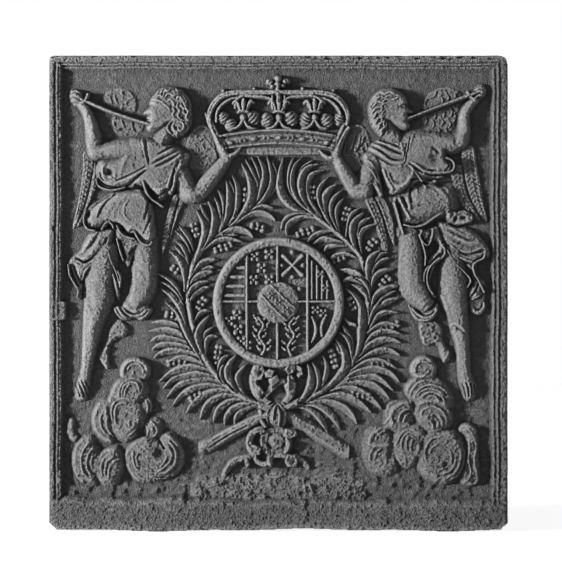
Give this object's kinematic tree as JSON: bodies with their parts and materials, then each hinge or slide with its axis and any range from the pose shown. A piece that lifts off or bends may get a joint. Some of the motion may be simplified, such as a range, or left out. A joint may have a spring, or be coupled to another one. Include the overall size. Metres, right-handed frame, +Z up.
{
  "type": "fireback",
  "caption": "Upright cast-iron hearth plate in low relief: winged trumpeters hold a crown over a round shield in crossed palms, with clouds, moulded edges and a plain foot.",
  "frame": {"origin": "middle of the flat underside that stands on the hearth", "axes": "+Z up, +X to the right seen from the carved front, +Y into the chimney wall behind"},
  "size_m": [0.915, 0.0492, 0.95],
  "materials": {
    "cast_iron": "sand-cast, blackened with graphite and soot",
    "worn_iron": "sand-cast, raised parts burnished by cleaning"
  },
  "bodies": {
    "root": {"back_plate": "cast_iron", "left_border": "cast_iron", "right_border": "cast_iron", "top_border": "cast_iron", "foot_band": "cast_iron", "medallion": "cast_iron", "shield_ribs": "cast_iron", "shield_charges": "cast_iron", "inner_shield": "cast_iron", "crown_band": "worn_iron", "crown_fleurons": "worn_iron", "crown_arches": "worn_iron", "crown_finial": "worn_iron", "left_palm": "cast_iron", "right_palm": "cast_iron", "left_fruit": "cast_iron", "right_fruit": "cast_iron", "ribbon_bow": "cast_iron", "ribbon_tails": "cast_iron", "left_head": "worn_iron", "left_arms": "worn_iron", "left_tunic": "cast_iron", "left_skirt": "cast_iron", "left_legs": "worn_iron", "left_outer_wing": "cast_iron", "left_inner_wing": "cast_iron", "left_trumpet": "worn_iron", "right_head": "worn_iron", "right_arms": "worn_iron", "right_tunic": "cast_iron", "right_skirt": "cast_iron", "right_legs": "worn_iron", "right_outer_wing": "cast_iron", "right_inner_wing": "cast_iron", "right_trumpet": "worn_iron", "left_clouds": "cast_iron", "right_clouds": "cast_iron", "rough_ground": "cast_iron"}
  },
  "joints": []
}
